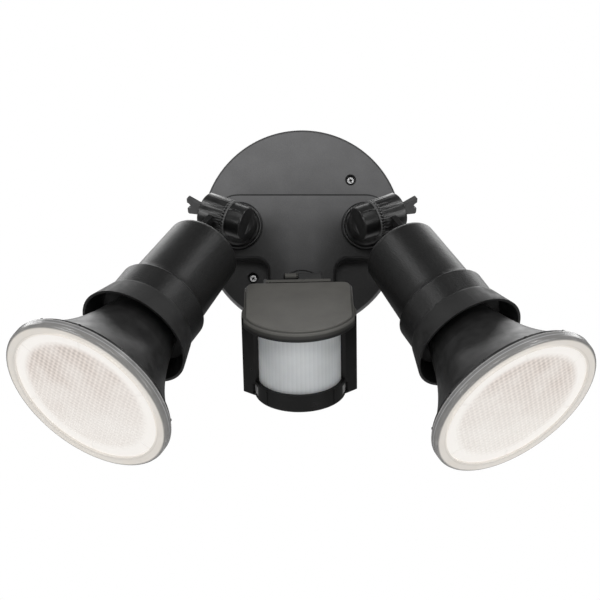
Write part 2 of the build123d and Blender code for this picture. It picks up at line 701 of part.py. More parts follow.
def knuckle_frames(side, tilt):
    """Frames at a lamp knuckle, (socket, arm, head), for the left (-1) or right (+1) lamp."""
    swivel = math.radians(SWIVEL_ANGLE)
    bend = math.radians(POST_BEND)
    lean = math.radians(tilt)
    out = Vector(0, -1, 0)
    across = Vector(side * math.cos(swivel), 0, math.sin(swivel))
    down = Vector(side * math.sin(swivel), 0, -math.cos(swivel))
    post = out * math.cos(bend) + across * math.sin(bend)
    pivot = out * math.sin(bend) - across * math.cos(bend)
    seat = Vector(side * LAMP_SOCKET_X, -FRONT_HEIGHT, LAMP_SOCKET_Z)
    centre = seat + post * POST_LENGTH
    lamp = post * math.cos(lean) + down * math.sin(lean)
    socket_frame = Location(Plane(origin=seat, x_dir=across, z_dir=out))
    arm_frame = Location(Plane(origin=centre, x_dir=post, z_dir=pivot))
    head_frame = Location(Plane(origin=centre, x_dir=lamp, z_dir=pivot))
    return socket_frame, arm_frame, head_frame


# ---- Sensor ----
roll = math.radians(SENSOR_ROLL)
pitch = math.radians(SENSOR_PITCH)
# Socket frame: X right, Y up, Z out of the wall, turned by the roll.  Knuckle frame: Z along the
# pivot axis, X out of the wall.  Head frame: X right, Y up, Z forward.
SENSOR_SOCKET = Location(
    Plane(
        origin=(0, -FRONT_HEIGHT, SENSOR_SOCKET_Z),
        x_dir=(math.cos(roll), 0, math.sin(roll)),
        z_dir=(0, -1, 0),
    )
)
pivot = (SENSOR_FACE_X, SENSOR_PIVOT_LIFT, SENSOR_PIVOT_REACH)
TO_PIVOT = Location(Plane(origin=pivot, x_dir=(0, 0, 1), z_dir=(1, 0, 0)))
SENSOR_KNUCKLE = SENSOR_SOCKET * TO_PIVOT
SENSOR_HEAD = SENSOR_SOCKET * Location(
    Plane(origin=pivot, x_dir=(1, 0, 0), z_dir=(0, -math.sin(pitch), math.cos(pitch)))
)
SPLIT_U = LENS_AXIS_U - SENSOR_SPLIT_BACK
HOOD_UNDER_V = HOOD_TOP_V - HOOD_SKIN
WINDOW_RING = Pos(0, (BEZEL_TOP_V + BEZEL_BOTTOM_V) / 2, LENS_AXIS_U)


def sensor_arm():
    foot, wire_way, flange_top = socket_fitting(SENSOR_PIVOT_REACH)
    barrel, bore = toothed_barrel(SENSOR_BARREL_R, SENSOR_BARREL_R, SENSOR_BARREL_LENGTH)
    post = rod(SENSOR_POST_R, flange_top, SENSOR_PIVOT_REACH)
    sweep = rod(SENSOR_BARREL_R + SWEEP_GAP, -SENSOR_EAR_LENGTH - WING_HUB_LENGTH, FACE_GAP)
    return foot + post - TO_PIVOT * sweep + TO_PIVOT * barrel - TO_PIVOT * bore - wire_way


def stand(plan, low, high):
    """Stand a plan, drawn as (x, forward), upright between two heights of the head frame."""
    upright = Location(Plane(origin=(0, high, 0), x_dir=(1, 0, 0), z_dir=(0, -1, 0)))
    return upright * extrude(plan, high - low)


def head_plan(front, inset):
    """Plan of the sensor housing from its rear wall to a forward station, drawn in by a wall."""
    sketch = make_face(
        Polyline(
            (-SENSOR_BACK_HALF + inset, SENSOR_BACK_U + inset),
            (SENSOR_BACK_HALF - inset, SENSOR_BACK_U + inset),
            (SENSOR_HALF - inset, front),
            (-SENSOR_HALF + inset, front),
            close=True,
        )
    )
    rear = [v for v in sketch.vertices() if abs(v.Y - SENSOR_BACK_U - inset) < MATCH]
    return fillet(rear, SENSOR_BACK_CORNER - inset)


def knob_places():
    """Locations of the two dials on the sensor's underside, Z pointing down out of it."""
    under = Location(Plane(origin=(0, SENSOR_BOTTOM_V, KNOB_U), x_dir=(1, 0, 0), z_dir=(0, -1, 0)))
    return [under * Pos(side * KNOB_X, 0, 0) for side in (-1, 1)]


def sensor_back():
    """Rear housing of the sensor: open in front, with the moving half of its knuckle behind."""
    outer = stand(head_plan(SPLIT_U, 0), SENSOR_BOTTOM_V, SENSOR_TOP_V)
    floor = SENSOR_BOTTOM_V + SENSOR_WALL
    ceiling = SENSOR_TOP_V - SENSOR_WALL
    room = stand(head_plan(SPLIT_U, SENSOR_WALL), floor, ceiling)
    ledge = Pos(0, SENSOR_TOP_V, LEDGE_BACK_U) * Box(
        2 * LEDGE_HALF,
        HOOD_TOP_V - LEDGE_DROP - SENSOR_TOP_V,
        HOOD_BACK_U - LEDGE_BACK_U,
        align=(Align.CENTER, Align.MIN, Align.MIN),
    )
    roof = Pos(0, SENSOR_TOP_V, HOOD_BACK_U) * Box(
        2 * LEDGE_HALF,
        HOOD_UNDER_V - SENSOR_TOP_V,
        SPLIT_U - HOOD_BACK_U,
        align=(Align.CENTER, Align.MIN, Align.MIN),
    )
    ear_place = Location(Plane(origin=(0, 0, 0), x_dir=(0, 0, 1), z_dir=(1, 0, 0)))
    neck_length = SENSOR_EAR_LENGTH - FACE_GAP - TOOTH_HEIGHT - SWEEP_GAP
    neck = Pos(SENSOR_BACK_U / 2, 0, -SENSOR_EAR_LENGTH + neck_length / 2) * Box(
        SENSOR_BACK_U + SENSOR_WALL, 2 * SENSOR_NECK_HALF, neck_length
    )
    bore = rod(CLAMP_R + CLAMP_CLEARANCE, -SENSOR_EAR_LENGTH, 0)
    sweep = rod(SENSOR_BARREL_R + SWEEP_GAP, -LEDGE_HALF - CUT_OVER, LEDGE_HALF + CUT_OVER)
    body = outer - room + ledge + roof - ear_place * sweep
    ear = crowned_barrel(SENSOR_BARREL_R, SENSOR_EAR_LENGTH) + neck - bore
    body += ear_place * ear
    for side in (-1, 1):
        hole = rod(SENSOR_SCREW_R + SCREW_HOLE_GAP, SENSOR_BACK_U, SENSOR_BACK_U + SENSOR_WALL)
        body -= Pos(side * SENSOR_SCREW_X, SENSOR_SCREW_V, 0) * hole
    for place in knob_places():
        body += place * rod(KNOB_R + KNOB_GAP + SENSOR_WALL, -KNOB_SINK - SENSOR_WALL, 0)
        body -= place * rod(KNOB_R + KNOB_GAP, -KNOB_SINK, 0)
        body -= place * rod(KNOB_POST_R + KNOB_GAP, -SENSOR_WALL - KNOB_SINK, 0)
    return body


def sensor_front():
    """Front frame: two wings swept back from the lens, and the round bezel below it."""
    wings = make_face(
        Polyline(
            (-SENSOR_HALF, SPLIT_U),
            (SENSOR_HALF, SPLIT_U),
            (SENSOR_HALF, LENS_AXIS_U),
            (SENSOR_FRONT_EDGE, LENS_AXIS_U + SENSOR_SWEEP),
            (-SENSOR_FRONT_EDGE, LENS_AXIS_U + SENSOR_SWEEP),
            (-SENSOR_HALF, LENS_AXIS_U),
            close=True,
        )
    )
    behind = Pos(0, SPLIT_U - BEZEL_R) * Rectangle(4 * BEZEL_R, 2 * BEZEL_R)
    disc = Pos(0, LENS_AXIS_U) * Circle(BEZEL_R) - behind
    frame = stand(wings, SENSOR_BOTTOM_V, SENSOR_TOP_V)
    bezel = stand(disc, BEZEL_BOTTOM_V, BEZEL_TOP_V)
    rims = bezel.edges().filter_by(GeomType.CIRCLE)
    bezel = fillet([e for e in rims if abs(e.center().Y - BEZEL_BOTTOM_V) < MATCH], BEZEL_EDGE)
    lens_axis = Pos(0, LENS_AXIS_U)
    collar = stand(lens_axis * Circle(FRESNEL_R + SENSOR_WALL) - behind, SENSOR_TOP_V, HOOD_UNDER_V)
    lens_hole = stand(lens_axis * Circle(FRESNEL_R + LENS_SEAT_GAP), FRESNEL_BOTTOM_V, HOOD_UNDER_V)
    room_half = SENSOR_FRONT_EDGE - SENSOR_WALL
    room = Pos(0, (FRESNEL_BOTTOM_V + SENSOR_TOP_V) / 2, (SPLIT_U + LENS_AXIS_U) / 2) * Box(
        2 * room_half, SENSOR_TOP_V - FRESNEL_BOTTOM_V - 2 * SENSOR_WALL, LENS_AXIS_U - SPLIT_U
    )
    lower_room = stand(
        Pos(0, LENS_AXIS_U) * Circle(FRESNEL_R - SENSOR_WALL) - behind,
        BEZEL_BOTTOM_V + SENSOR_WALL,
        FRESNEL_BOTTOM_V,
    )
    front = frame + bezel + collar - lens_hole - room - lower_room
    rib_height = BEZEL_TOP_V - BEZEL_BOTTOM_V - 2 * BEZEL_EDGE
    rib = Pos(0, 0, BEZEL_R) * Box(BEZEL_RIB_WIDTH, rib_height, 2 * BEZEL_RIB_HEIGHT)
    for side in (-1, 1):
        window = Box(WINDOW_WIDTH, WINDOW_HEIGHT, 2 * WINDOW_DEPTH)
        front -= WINDOW_RING * Rot(0, side * WINDOW_TURN, 0) * Pos(0, 0, BEZEL_R) * window
        front += WINDOW_RING * Rot(0, side * BEZEL_RIB_TURN, 0) * rib
        boss_r = SENSOR_SCREW_R + SENSOR_BOSS_WALL
        boss = rod(boss_r, SENSOR_BACK_U + SENSOR_WALL + FACE_GAP, SPLIT_U)
        boss += Pos(0, 0, SPLIT_U) * Box(
            2 * boss_r,
            SENSOR_SCREW_V - FRESNEL_BOTTOM_V + SENSOR_WALL,
            3 * SENSOR_WALL,
            align=(Align.CENTER, Align.MAX, Align.CENTER),
        )
        pilot = rod(SENSOR_SCREW_R, SENSOR_BACK_U, SENSOR_BACK_U + SENSOR_SCREW_LENGTH)
        front += Pos(side * SENSOR_SCREW_X, SENSOR_SCREW_V, 0) * (boss - pilot)
    return front


def fresnel_lens():
    """Curved lens sheet standing in the front frame, open behind."""
    sheet = Circle(FRESNEL_R) - Circle(FRESNEL_R - FRESNEL_WALL)
    rear = Pos(0, -FRESNEL_R) * Rectangle(4 * FRESNEL_R, 2 * (FRESNEL_R - LENS_REACH_BACK))
    return stand(Pos(0, LENS_AXIS_U) * (sheet - rear), FRESNEL_BOTTOM_V, HOOD_UNDER_V)


def window_lenses():
    """Clear inserts in the bezel's two side windows."""
    thickness = WINDOW_DEPTH - WINDOW_INSET
    block = Box(WINDOW_WIDTH, WINDOW_HEIGHT, thickness)
    block = Pos(0, 0, BEZEL_R - WINDOW_DEPTH + thickness / 2) * block
    turns = [Rot(0, side * WINDOW_TURN, 0) for side in (-1, 1)]
    return Compound([(WINDOW_RING * turn * block).solid() for turn in turns])


def hood_plan(inset):
    """Plan of the hood: straight rear edge with round corners, straight sides and a round front."""
    reach = HOOD_FRONT_R - inset
    half = HOOD_HALF - inset
    side = LENS_AXIS_U + math.sqrt(reach**2 - half**2)
    rear = HOOD_BACK_U + inset
    line = Polyline((half, side), (half, rear), (-half, rear), (-half, side))
    front = ThreePointArc((-half, side), (0, LENS_AXIS_U + reach), (half, side))
    sketch = make_face(line + front)
    corners = [v for v in sketch.vertices() if abs(v.Y - rear) < MATCH]
    return fillet(corners, HOOD_CORNER - inset)


def sensor_hood():
    """Rain hood: top plate with a stepped, rounded edge and a rim that hangs before the lens."""
    shell = stand(hood_plan(0), SENSOR_TOP_V, HOOD_TOP_V - HOOD_STEP_DROP)
    shell = fillet(shell.edges().group_by(Axis.Y)[-1], HOOD_EDGE)
    crest = stand(hood_plan(HOOD_STEP), HOOD_TOP_V - HOOD_STEP_DROP, HOOD_TOP_V)
    crest = fillet(crest.edges().group_by(Axis.Y)[-1], HOOD_TOP_EDGE)
    shell += crest
    under = stand(hood_plan(HOOD_RIM), SENSOR_TOP_V, HOOD_UNDER_V)
    behind = Pos(0, SENSOR_TOP_V, HOOD_BACK_U) * Box(
        2 * LEDGE_HALF, HOOD_UNDER_V - SENSOR_TOP_V, HOOD_RIM, align=(Align.CENTER, Align.MIN, Align.MIN)
    )
    return shell - under - behind


def control_knob():
    """Dial with a screwdriver slot on a stem that runs up to the circuit board's trimmer."""
    dial = rod(KNOB_R, FACE_GAP - KNOB_SINK, FACE_GAP - KNOB_SINK + KNOB_HEIGHT)
    dial = chamfer(dial.edges().group_by(Axis.Z)[-1], KNOB_SLOT / 2)
    slot = Pos(0, 0, KNOB_HEIGHT - KNOB_SINK) * Box(2 * KNOB_R, KNOB_SLOT, 2 * KNOB_SLOT)
    stem = rod(KNOB_POST_R, -KNOB_SINK - KNOB_STEM, FACE_GAP - KNOB_SINK)
    return dial - slot + stem


def circuit_board():
    return Pos(0, (BOARD_TOP_V + BOARD_BOTTOM_V) / 2, BOARD_U - BOARD_THICKNESS / 2) * Box(
        2 * BOARD_HALF, BOARD_TOP_V - BOARD_BOTTOM_V, BOARD_THICKNESS
    )


def pir_element():
    """Heat sensor can on the board behind the lens."""
    can = rod(PIR_R, BOARD_U, BOARD_U + PIR_HEIGHT)
    return Pos(0, PIR_V, 0) * (can + rod(PIR_R + PIR_FLANGE, BOARD_U, BOARD_U + PIR_FLANGE))


def relay():
    width, height, depth = RELAY_SIZE
    return Pos(RELAY_X, (BOARD_TOP_V + BOARD_BOTTOM_V) / 2, BOARD_U - BOARD_THICKNESS - depth / 2) * Box(
        width, height, depth
    )


def sensor_screws():
    """Two screws from behind that hold the front frame to the rear housing."""
    screws = []
    for side in (-1, 1):
        head = rod(SENSOR_SCREW_HEAD_R, SENSOR_BACK_U - SENSOR_SCREW_HEAD, SENSOR_BACK_U)
        shank = rod(SENSOR_SCREW_R, SENSOR_BACK_U, SENSOR_BACK_U + SENSOR_SCREW_LENGTH)
        screws.append((Pos(side * SENSOR_SCREW_X, SENSOR_SCREW_V, 0) * (head + shank)).solid())
    return Compound(screws)


os.makedirs("parts", exist_ok=True)
save("base_cover", base_cover(), WALL)
save("back_plate", back_plate(), WALL)
save("rim_seal", rim_seal(), WALL)
save("cable_grommet", cable_grommet(), WALL)
save("cover_screws", cover_screws(), WALL)
save("terminal_block", terminal_block(), WALL)
save("terminal_screws", terminal_screws(), WALL)

for name, side, tilt in (("left", -1, TILT_LEFT), ("right", 1, TILT_RIGHT)):
    socket_frame, arm_frame, head_frame = knuckle_frames(side, tilt)
    save(f"{name}_swivel_arm", lamp_arm(side), arm_frame)
    save(f"{name}_swivel_seal", swivel_seal(), socket_frame)
    save(f"{name}_lock_nut", lock_nut(), socket_frame)
    save(f"{name}_clamp_insert", clamp_insert(), arm_frame)
    save(f"{name}_wing_screw", wing_screw(OUTER_BARREL_LENGTH, -side * WING_TURN), arm_frame)
    save(f"{name}_lampholder", lampholder(side), head_frame)
    lamp_frame = head_frame * lamp_offset(side)
    save(f"{name}_lamp_socket", lamp_socket(), lamp_frame)
    save(f"{name}_socket_contacts", socket_contacts(), lamp_frame)
    save(f"{name}_lamp_gasket", lamp_gasket(), lamp_frame)
    save(f"{name}_lamp_body", lamp_body(), lamp_frame)
    save(f"{name}_lamp_cap", lamp_cap(), lamp_frame)
    save(f"{name}_led_board", led_board(), lamp_frame)
    save(f"{name}_lamp_ring", lamp_ring(), lamp_frame)
    save(f"{name}_lamp_lens", lamp_lens(), lamp_frame)

save("sensor_arm", sensor_arm(), SENSOR_SOCKET)
save("sensor_seal", swivel_seal(), SENSOR_SOCKET)
save("sensor_lock_nut", lock_nut(), SENSOR_SOCKET)
save("sensor_back", sensor_back(), SENSOR_HEAD)
save("sensor_front", sensor_front(), SENSOR_HEAD)
save("sensor_hood", sensor_hood(), SENSOR_HEAD)
save("fresnel_lens", fresnel_lens(), SENSOR_HEAD)
save("window_lenses", window_lenses(), SENSOR_HEAD)
for name, place in zip(("time_knob", "light_knob"), knob_places()):
    save(name, control_knob(), SENSOR_HEAD * place)
save("circuit_board", circuit_board(), SENSOR_HEAD)
save("pir_element", pir_element(), SENSOR_HEAD)
save("relay", relay(), SENSOR_HEAD)
save("sensor_screws", sensor_screws(), SENSOR_HEAD)
save("sensor_clamp_insert", clamp_insert(), SENSOR_KNUCKLE)
save("sensor_wing_screw", wing_screw(SENSOR_EAR_LENGTH, 0), SENSOR_KNUCKLE)
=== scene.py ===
import json
import math

import bmesh
import bpy
from mathutils import Matrix, Vector


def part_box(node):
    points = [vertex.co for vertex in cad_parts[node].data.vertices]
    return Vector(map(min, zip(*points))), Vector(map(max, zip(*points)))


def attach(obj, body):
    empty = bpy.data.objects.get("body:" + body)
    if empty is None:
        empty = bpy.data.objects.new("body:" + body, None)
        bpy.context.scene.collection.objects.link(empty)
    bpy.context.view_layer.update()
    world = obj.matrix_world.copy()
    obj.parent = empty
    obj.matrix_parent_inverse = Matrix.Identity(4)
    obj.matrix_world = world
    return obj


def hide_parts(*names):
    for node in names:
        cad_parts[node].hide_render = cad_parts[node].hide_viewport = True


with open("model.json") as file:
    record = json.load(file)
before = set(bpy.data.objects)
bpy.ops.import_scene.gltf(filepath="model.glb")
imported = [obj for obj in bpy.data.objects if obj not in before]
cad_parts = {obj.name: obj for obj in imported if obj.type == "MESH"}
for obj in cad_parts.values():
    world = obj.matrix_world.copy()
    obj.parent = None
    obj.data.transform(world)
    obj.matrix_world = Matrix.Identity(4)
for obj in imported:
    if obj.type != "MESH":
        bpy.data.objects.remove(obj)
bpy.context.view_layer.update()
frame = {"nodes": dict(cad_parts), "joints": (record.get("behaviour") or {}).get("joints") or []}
nodes = frame["nodes"]
joints = {joint["name"]: joint for joint in frame["joints"]}
MM = 0.001
SIDES = ("left", "right")
# Verts closer than this, in metres, become one
WELD = 1e-6

# ---- Zones of a lamp's knuckle: a stretch along its tilt axis, and the radii round it ----
NECK_FACE = ((-13.3 * MM, -12.7 * MM), (0, 34 * MM))
HOLDER_TIP = ((-1.5 * MM, 1 * MM), (0, 12.9 * MM))
HOLDER_BARREL = ((-20 * MM, 6 * MM), (0, 13 * MM))
HOLDER_CROWN = ((3.6 * MM, 5.2 * MM), (5.5 * MM, 13 * MM))
ARM_TIP = ((0, 1.8 * MM), (0, 13.3 * MM))
ARM_RIM = ((5 * MM, 6.8 * MM), (11 * MM, 13.4 * MM))
CROWN_REACH = 5 * MM
NECK_SLIMMING = 7.5 * MM
SMOOTH_UP_TO = 30

# ---- Cross-headed screws ----
COVER_SCREW = {
    "head_radius": 2.9 * MM,
    "head_height": 2.0 * MM,
    "shank_radius": 1.75 * MM,
    "shank_length": 9.0 * MM,
}
COVER_SCREW_TURNS = (20, 65)
SENSOR_SCREW = {
    "head_radius": 2.7 * MM,
    "head_height": 1.8 * MM,
    "shank_radius": 1.4 * MM,
    "shank_length": 12 * MM,
}
SENSOR_SCREW_ASIDE = 24 * MM
SENSOR_SCREW_Y = -15 * MM
SENSOR_SCREW_Z = -38 * MM
# Shares of the head's radius
CREST_RADIUS = 0.8
RECESS_HALF = 0.5
RECESS_CORNER = 0.4
# Shares of the head's height
CREST_FALL = 0.35
RECESS_DEPTH = 0.6
# Share of a third of the recess that is left to each arm, and of its mouth that is left to its floor
ARM_NARROWING = 0.55
RECESS_TAPER = 0.7

# ---- Tick marks round the dials ----
TICKS = 9
TICK_SWEEP = 270
TICK_START = 6.4 * MM
LONG_TICK = 2.2 * MM
SHORT_TICK = 1.4 * MM
TICK_WIDTH = 0.5 * MM
TICK_HEIGHT = 0.3 * MM
TICK_SINK = 0.1 * MM

# ---- Stretches over which a finish changes, from where the change starts to where it is full ----
# Painted shade on the cover: aside from the middle, under the arms and downwards
SHADE_ASIDE = (8 * MM, 36 * MM)
SHADE_UNDER_ARMS = (14 * MM, -4 * MM)
SHADE_DOWNWARDS = (10 * MM, -38 * MM)
# Painted highlight on the cover's lower rim, kept free of the painted shade, and painted shade on its
# upper half
COVER_RIM = (70.2 * MM, 71.0 * MM)
RIM_UPWARDS = (-5 * MM, 5 * MM)
# Painted light on the cover, brighter on its left and darker on its right
PAINTED_LIGHT_ACROSS = (-65 * MM, 65 * MM)
# Painted shade line along the housing's upper edge, over this stretch of depth
HOUSING_EDGE = (-36 * MM, -36.4 * MM)
# Stretch of height over which the hood's lip carries its painted shade
HOOD_LIP = (3.6 * MM, 10.6 * MM)
SENSOR_TOP = (-8 * MM, -6 * MM)
# Stretch of the ring's wall that carries its painted highlight lines
RING_WALL = (-6.5 * MM, 1.5 * MM)
RING_FACE_EDGE = (58.4 * MM, 59.6 * MM)
RING_GLOW_EDGE = (58.4 * MM, 60.3 * MM)
LENS_VEIL = (-25 * MM, 35 * MM)
PRISM_DISC = (42 * MM, 47 * MM)

# ---- Patterns and shades ----
# Deepest painted shade on the cover
DEEPEST_SHADE = 0.75
RING_LINE = 54.4 * MM
RING_LINE_WIDTH = 0.7 * MM
PRISM_PITCH = 3.4 * MM
PRISM_LEAN = 45
SPOKE_PAIRS = 3
SHEET_CENTRE = -53.2 * MM
SHEET_FACETS = 60
SHEET_TIER = 13 * MM
# Most of a noise lies between these values
NOISE_LOW, NOISE_HIGH = 0.3, 0.7

# ---- Stage and camera, in metres and degrees; the camera's lens and sensor in millimetres ----
FLOOR_HALF = 2.6
FLOOR_DROP = 0.6
FILL_STRENGTH = 0.26
CAMERA_PLACE = (-0.00144, -1.4070, -0.1579)
CAMERA_RISE = 4.4
CAMERA_SIGHT = 50
CAMERA_LENS = 116.4
CAMERA_SENSOR = 36


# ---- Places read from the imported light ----
def standing(origin, x, y, z):
    """Matrix of a local frame with these axes at this origin."""
    turn = Matrix((x, y, z)).transposed().to_4x4()
    return Matrix.Translation(origin) @ turn


def middle(node):
    low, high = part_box(node)
    return (Vector(low) + Vector(high)) / 2


def lamp_frame(side):
    """Z out along the lamp axis from the centre of the front lens, Y up its face."""
    centre = middle(f"{side}_lamp_lens")
    axis = (centre - middle(f"{side}_lamp_cap")).normalized()
    across = Vector((0, 0, 1)).cross(axis).normalized()
    return standing(centre, across, axis.cross(across), axis)


def knuckle_frame(side):
    """Z inwards along the lamp's tilt axis, X towards the lampholder."""
    pivot = joints[f"{side}_tilt"]
    inwards = Vector(pivot["axis"]).normalized() * (1 if side == "left" else -1)
    ahead = LAMP[side].col[2].to_3d()
    ahead = (ahead - inwards * ahead.dot(inwards)).normalized()
    return standing(Vector(pivot["pos_m"]), ahead, inwards.cross(ahead), inwards)


def sensor_frame():
    """X along the sensor's pivot, Y towards the wall, Z up, from the pivot."""
    pivot = joints["sensor_tilt"]
    across = Vector(pivot["axis"]).normalized()
    up = -Vector(joints["time_turn"]["axis"]).normalized()
    return standing(Vector(pivot["pos_m"]), across, across.cross(up) * -1, up)


LAMP = {side: lamp_frame(side) for side in SIDES}
KNUCKLE = {side: knuckle_frame(side) for side in SIDES}
SENSOR_HEAD = sensor_frame()


# ---- Material building blocks ----
def grey(level):
    return (level, level, level)


def dimmed(colour, share):
    return tuple(c * share for c in colour)


class Finish:
    """A material with one Principled shader, and short ways to hang patterns on it."""

    def __init__(self, name, colour, roughness, metallic=0.0, **sockets):
        self.material = bpy.data.materials.new(name)
        self.material.use_nodes = True
        self.tree = self.material.node_tree
        self.shader = self.tree.nodes["Principled BSDF"]
        self.shader.inputs["Base Color"].default_value = (*colour, 1)
        self.shader.inputs["Roughness"].default_value = roughness
        self.shader.inputs["Metallic"].default_value = metallic
        for socket, value in sockets.items():
            self.shader.inputs[socket.replace("_", " ")].default_value = value
        self.where = self.add("ShaderNodeTexCoord").outputs["Object"]

    def add(self, kind, **inputs):
        node = self.tree.nodes.new(kind)
        for socket, value in inputs.items():
            self.feed(node.inputs[socket.replace("_", " ")], value)
        return node

    def feed(self, socket, value):
        if isinstance(value, bpy.types.NodeSocket):
            self.tree.links.new(value, socket)
        else:
            socket.default_value = value

    # Sums
    def math(self, operation, first, second=0.0):
        node = self.tree.nodes.new("ShaderNodeMath")
        node.operation = operation
        self.feed(node.inputs[0], first)
        self.feed(node.inputs[1], second)
        return node.outputs[0]

    def plus(self, first, second):
        return self.math("ADD", first, second)

    def minus(self, first, second):
        return self.math("SUBTRACT", first, second)

    def times(self, first, *others):
        for other in others:
            first = self.math("MULTIPLY", first, other)
        return first

    def span(self, value, low, high, to_low=0.0, to_high=1.0):
        """Carry a value from one range to another, held at both ends."""
        node = self.add(
            "ShaderNodeMapRange",
            Value=value,
            From_Min=low,
            From_Max=high,
            To_Min=to_low,
            To_Max=to_high,
        )
        return node.outputs["Result"]

    # Places on the surface
    def split(self, vector):
        node = self.add("ShaderNodeSeparateXYZ", Vector=vector)
        return node.outputs["X"], node.outputs["Y"], node.outputs["Z"]

    def inside(self, place):
        """X, Y and Z of the surface in the local frame of a placed part."""
        turn = place.inverted()
        mapping = self.add("ShaderNodeMapping", Vector=self.where)
        mapping.inputs["Location"].default_value = turn.to_translation()
        mapping.inputs["Rotation"].default_value = turn.to_euler()
        return self.split(mapping.outputs["Vector"])

    def facing_up(self):
        """How far the surface faces up, from -1 to 1."""
        return self.split(self.add("ShaderNodeNewGeometry").outputs["Normal"])[2]

    def radius(self, x, y):
        return self.math("SQRT", self.plus(self.times(x, x), self.times(y, y)))

    # Patterns
    def wave(self, value, pitch):
        return self.math("SINE", self.times(value, 2 * math.pi / pitch))

    def noise(self, grain, detail=3.0):
        """Soft noise whose grain is about this many metres across."""
        texture = self.add("ShaderNodeTexNoise", Vector=self.where, Scale=1 / grain, Detail=detail)
        return texture.outputs["Fac"]

    def cells(self, grain):
        return self.add("ShaderNodeTexVoronoi", Vector=self.where, Scale=1 / grain).outputs["Distance"]

    def ramp(self, factor, *stops):
        """Colour along a ramp of (position, colour) stops."""
        node = self.add("ShaderNodeValToRGB", Fac=factor)
        elements = node.color_ramp.elements
        while len(elements) < len(stops):
            elements.new(0.5)
        for element, (position, colour) in zip(elements, stops):
            element.position = position
            element.color = (*colour, 1)
        return node.outputs["Color"]

    def drift(self, noise, first, second):
        """Colour that drifts from the first to the second with a noise."""
        return self.ramp(noise, (NOISE_LOW, first), (NOISE_HIGH, second))

    # What the shader is given
    def tint(self, colour):
        self.feed(self.shader.inputs["Base Color"], colour)

    def shade(self, colour, level):
        """Base colour, scaled by a level that is one where nothing shades it."""
        scaled = self.add("ShaderNodeVectorMath")
        scaled.operation = "SCALE"
        self.feed(scaled.inputs[0], colour)
        self.feed(scaled.inputs["Scale"], level)
        self.tint(scaled.outputs["Vector"])

    def dull(self, noise, low, high):
        """Roughness that drifts from low to high with a noise."""
        roughness = self.span(noise, NOISE_LOW, NOISE_HIGH, low, high)
        self.feed(self.shader.inputs["Roughness"], roughness)

    def glow(self, colour, strength):
        self.feed(self.shader.inputs["Emission Color"], colour)
        self.feed(self.shader.inputs["Emission Strength"], strength)

    def emboss(self, height, depth, edge=0.0):
        """Bump of the given depth, over edges softened by the given radius, in metres."""
        bump = self.add("ShaderNodeBump", Height=height, Distance=depth)
        if edge:
            soft = self.add("ShaderNodeBevel", Radius=edge)
            soft.samples = 4
            self.feed(bump.inputs["Normal"], soft.outputs["Normal"])
        self.feed(self.shader.inputs["Normal"], bump.outputs["Normal"])


# ---- Finishes of this light ----
def textured_cover(name, colour):
    """Spark-eroded moulded plastic: its fine even grain, and its faintly mottled colour."""
    look = Finish(name, colour, 0.5, Specular_IOR_Level=0.4)
    fine = look.noise(0.6 * MM, 4)
    broad = look.noise(12 * MM, 3)
    blend = look.plus(look.times(fine, 0.6), look.times(broad, 0.4))
    mottled = look.ramp(blend, (0.35, dimmed(colour, 0.85)), (0.65, dimmed(colour, 1.12)))
    look.dull(fine, 0.45, 0.65)
    look.emboss(fine, 0.1 * MM, 0.5 * MM)
    return look, mottled


def cover_finish():
    """The cover's grain, with painted shade under the arms and downwards, painted light from left to
    right, a painted highlight on the lower rim, painted shade on the upper rim and a painted shade line
    on the housing's upper edge.
    """
    look, mottled = textured_cover("cover_plastic", (0.122, 0.122, 0.124))
    x, y, z = look.split(look.where)
    # Painted shade: darker aside under the arms and further down the cover
    aside = look.span(look.math("ABSOLUTE", x), *SHADE_ASIDE, 0.0, 0.6)
    under_arms = look.times(aside, look.span(z, *SHADE_UNDER_ARMS))
    downwards = look.span(z, *SHADE_DOWNWARDS, 0.0, 0.42)
    face_shade = look.math("MINIMUM", look.plus(under_arms, downwards), DEEPEST_SHADE)
    # The rim is kept free of the face's painted shade, a painted highlight low down, and takes painted
    # shade over its upper half
    rim = look.span(look.radius(x, z), *COVER_RIM)
    rim_shade = look.span(z, *RIM_UPWARDS, 0.0, 0.4)
    shaded = look.plus(look.times(face_shade, look.minus(1.0, rim)), look.times(rim, rim_shade))
    # Painted light: the level left by the painted shade, then brighter to the left and darker to the
    # right
    painted_light = look.math("POWER", look.minus(1.0, shaded), 2.2)
    painted_light = look.times(painted_light, look.span(x, *PAINTED_LIGHT_ACROSS, 1.12, 0.84))
    # Painted shade: a dark line on the up-facing edge of the housing's front
    edge = look.times(look.span(look.facing_up(), 0.1, 0.3), look.span(y, *HOUSING_EDGE))
    level = look.times(painted_light, look.minus(1.0, look.times(edge, 0.88)))
    look.shade(mottled, look.math("MINIMUM", level, 1.0))
    return look.material


def hood_finish():
    """The hood's grain, with a painted shade line at the top of its lip and painted shade over its
    lower half.
    """
    look, mottled = textured_cover("hood_plastic", (0.112, 0.109, 0.1))
    height = look.inside(SENSOR_HEAD)[2]
    # Painted shade: a dark lower half of the lip and a dark line near its top
    level = look.ramp(
        look.span(height, *HOOD_LIP),
        (0.0, grey(0.02)),
        (0.24, grey(0.04)),
        (0.34, grey(0.25)),
        (0.56, grey(0.35)),
        (0.68, grey(1.0)),
        (0.86, grey(1.0)),
        (0.92, grey(0.4)),
        (0.97, grey(1.0)),
    )
    look.shade(mottled, level)
    return look.material


def glossy_knuckle():
    """Black nylon, polished by its tool, with faint flow marks."""
    look = Finish("glossy_knuckle", grey(0.008), 0.25, Specular_IOR_Level=0.5)
    flow = look.noise(6 * MM, 3)
    look.tint(look.drift(flow, grey(0.006), grey(0.012)))
    look.dull(flow, 0.28, 0.38)
    look.emboss(look.noise(1.8 * MM, 2), 0.004 * MM, 0.4 * MM)
    return look.material


